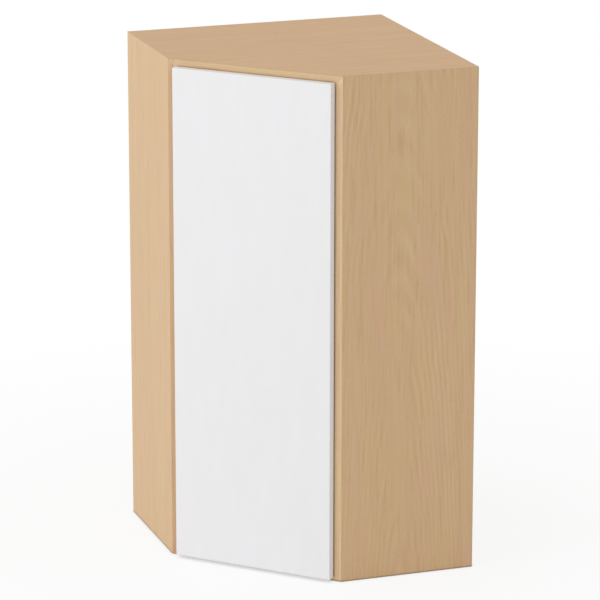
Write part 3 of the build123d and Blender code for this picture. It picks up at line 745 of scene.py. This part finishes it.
def addFittings():
    screw = screwTree()
    for node, name, body, sizes in screwKinds:
        standing = 0.0 if sizes["Sunk"] else sizes["Head Height"]
        fit(node, name, screw, screwPlaces(node, standing), zincPlate, body, sizes)

    # a cam's face looks into the cabinet, its mouth at the side panel it draws in
    cams = []
    for points, middle, axis in placesOf("joint_cams"):
        facesUp = middle[2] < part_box("lower_shelf")[0][2]
        face = points[:, 2].max() if facesUp else points[:, 2].min()
        mouth = (-1.0, 0.0, 0.0) if middle[0] < middle[1] else (0.0, -1.0, 0.0)
        cams.append(((middle[0], middle[1], face), (0, 0, 1.0 if facesUp else -1.0), mouth))
    fit("joint_cams", "jointCams", camTree(), cams, zincCasting, "carcass")

    # a pin's spoon is the end with the wide flat part
    r = pinReading
    pins = []
    for points, middle, axis in placesOf("shelf_pins"):
        size = np.ptp(points, axis=0)
        lengthways, across = (0, 1) if size[0] > size[1] else (1, 0)
        low, high = points[:, lengthways].min(), points[:, lengthways].max()
        lowEnd = points[np.abs(points[:, lengthways] - low) < r["endSlice"]]
        spoonLow = np.ptp(lowEnd[:, across]) > r["spoonWidth"]
        place, way = [middle[0], middle[1], points[:, 2].max() - r["spoonDrop"]], [0.0, 0.0, 0.0]
        place[lengthways] = low + r["spoonReach"] if spoonLow else high - r["spoonReach"]
        way[lengthways] = -1.0 if spoonLow else 1.0
        pins.append((place, way, (0, 0, 1)))
    fit("shelf_pins", "shelfPins", pinTree(), pins, nickelPlate, "carcass")

    dowel = dowelTree()
    kinds = {}
    for points, middle, axis in placesOf("wooden_dowels"):
        reach = (points - middle) @ axis
        radius = np.linalg.norm(points - middle - np.outer(reach, axis), axis=1).max()
        kinds.setdefault((round(float(radius), 5), round(float(np.ptp(reach)), 4)), []).append(
            (middle + axis * reach.max(), axis, (0, 0, 1)))
    for label, ((radius, length), places) in zip(("thick", "thin"), sorted(kinds.items(), reverse=True)):
        fit("wooden_dowels", "dowels_" + label, dowel, places, rawBeech, "carcass",
            {"Radius": radius, "Length": length})

    inward = np.array([1.0, 1.0, 0.0]) / math.sqrt(2)
    pads = [(middle + inward * ((points - middle) @ inward).max(), inward, (0, 0, 1))
            for points, middle, axis in placesOf("door_buffers")]
    fit("door_buffers", "doorBuffers", bufferTree(), pads, clearRubber, "door")


addFittings()
print("fittings in place")

# White studio: an even ambient, one big soft lamp at the left, a pale floor that keeps the shadow
studio = {
    "ambient": 0.655,
    "slope": (-0.28, -0.04, 0.12),         # the dome is brighter towards the left and above
    "lampPower": 28.0,
    "lampSize": 2.6,
    "lampPlace": (-4.0, -0.64, 2.53),
    "lampAim": (0.0, 0.0, 0.57),
    "floorSize": 14.0,
    "floorColour": "#F6F6F6",
    "floorGlow": 0.86,         # share of plain white that the camera sees on the floor by the cabinet
    "whiteFrom": (0.5, 1.8),   # it rises to all white between these distances
    "contact": 0.010,          # how far the painted contact shadow under the edges reaches
    "contactRange": (0.45, 0.95),          # open share of the view where it is full and where it ends
    "contactGlow": 0.42,       # what is left of the white in it
}


def buildStudio():
    world = bpy.data.worlds.new("whiteStudio")
    bpy.context.scene.world = world
    world.use_nodes = True
    world.node_tree.nodes.clear()
    add = partial(addNode, world.node_tree)
    rays = add("ShaderNodeLightPath").outputs
    mirrored = add("ShaderNodeMath", rays["Is Glossy Ray"], rays["Is Transmission Ray"], operation="MAXIMUM")
    seen = add("ShaderNodeMath", rays["Is Camera Ray"], mirrored, operation="MAXIMUM")
    way = add("ShaderNodeTexCoord").outputs["Generated"]
    lean = add("ShaderNodeVectorMath", way, studio["slope"], operation="DOT_PRODUCT").outputs["Value"]
    dome = add("ShaderNodeMath", lean, studio["ambient"], operation="ADD")
    sky = add("ShaderNodeBackground", (1, 1, 1, 1), add("ShaderNodeMix", {0: seen, 2: dome, 3: 1.0}))
    add("ShaderNodeOutputWorld", sky)

    lamp = bpy.data.lights.new("leftSoftbox", "AREA")
    lamp.shape = "SQUARE"
    lamp.size = studio["lampSize"]
    lamp.energy = studio["lampPower"]
    lampObject = newObject("leftSoftbox", lamp)
    lampObject.location = studio["lampPlace"]
    aim = [b - a for a, b in zip(studio["lampPlace"], studio["lampAim"])]
    flat = math.hypot(aim[0], aim[1])
    lampObject.rotation_euler = (math.pi / 2 + math.atan2(aim[2], flat), 0, math.atan2(-aim[0], aim[1]))

    material, add = newMaterial("paleFloor")
    rays = add("ShaderNodeLightPath").outputs
    seen = add("ShaderNodeMath", rays["Is Camera Ray"], rays["Is Glossy Ray"], operation="MAXIMUM")
    away = add("ShaderNodeVectorMath", add("ShaderNodeTexCoord").outputs["Object"], operation="LENGTH")
    white = add("ShaderNodeMapRange", away.outputs["Value"], *studio["whiteFrom"], studio["floorGlow"], 1.0)
    # painted contact shadow: ambient occlusion dims the floor's white where the cabinet meets it
    nearby = add("ShaderNodeAmbientOcclusion", {"Distance": studio["contact"]}, samples=nearSamples)
    clear = add("ShaderNodeMapRange", nearby.outputs["AO"], *studio["contactRange"], studio["contactGlow"], 1.0)
    share = add("ShaderNodeMath", seen, add("ShaderNodeMath", white, clear, operation="MULTIPLY"),
                operation="MULTIPLY")
    matt = add("ShaderNodeBsdfDiffuse", linearColour(studio["floorColour"]))
    glow = add("ShaderNodeEmission", (1, 1, 1, 1), 1.0)
    add("ShaderNodeOutputMaterial", add("ShaderNodeMixShader", share, matt, glow))
    half = studio["floorSize"] / 2
    corners = [(-half, -half, 0), (half, -half, 0), (half, half, 0), (-half, half, 0)]
    newObject("studioFloor", newMesh("studioFloor", corners, [(0, 1, 2, 3)], material))


buildStudio()
print("studio built")

# The photograph's viewpoint, from the cabinet's corners in it
photoView = {
    "place": (-2.5647, -7.4494, 2.7841),
    "azimuth": 18.868,         # degrees from +Y towards +X
    "tilt": -15.716,
    "lens": 218.37,
    "sensor": 36.0,
    "shiftX": 0.0145,
}


def placeCamera():
    data = bpy.data.cameras.new("photoCamera")
    data.sensor_width = photoView["sensor"]
    data.lens = photoView["lens"]
    data.shift_x = photoView["shiftX"]
    camera = newObject("photoCamera", data)
    camera.location = photoView["place"]
    camera.rotation_euler = (math.radians(90 + photoView["tilt"]), 0, -math.radians(photoView["azimuth"]))
    bpy.context.scene.camera = camera
    bpy.context.scene.view_settings.view_transform = "Standard"


placeCamera()
print("camera placed")
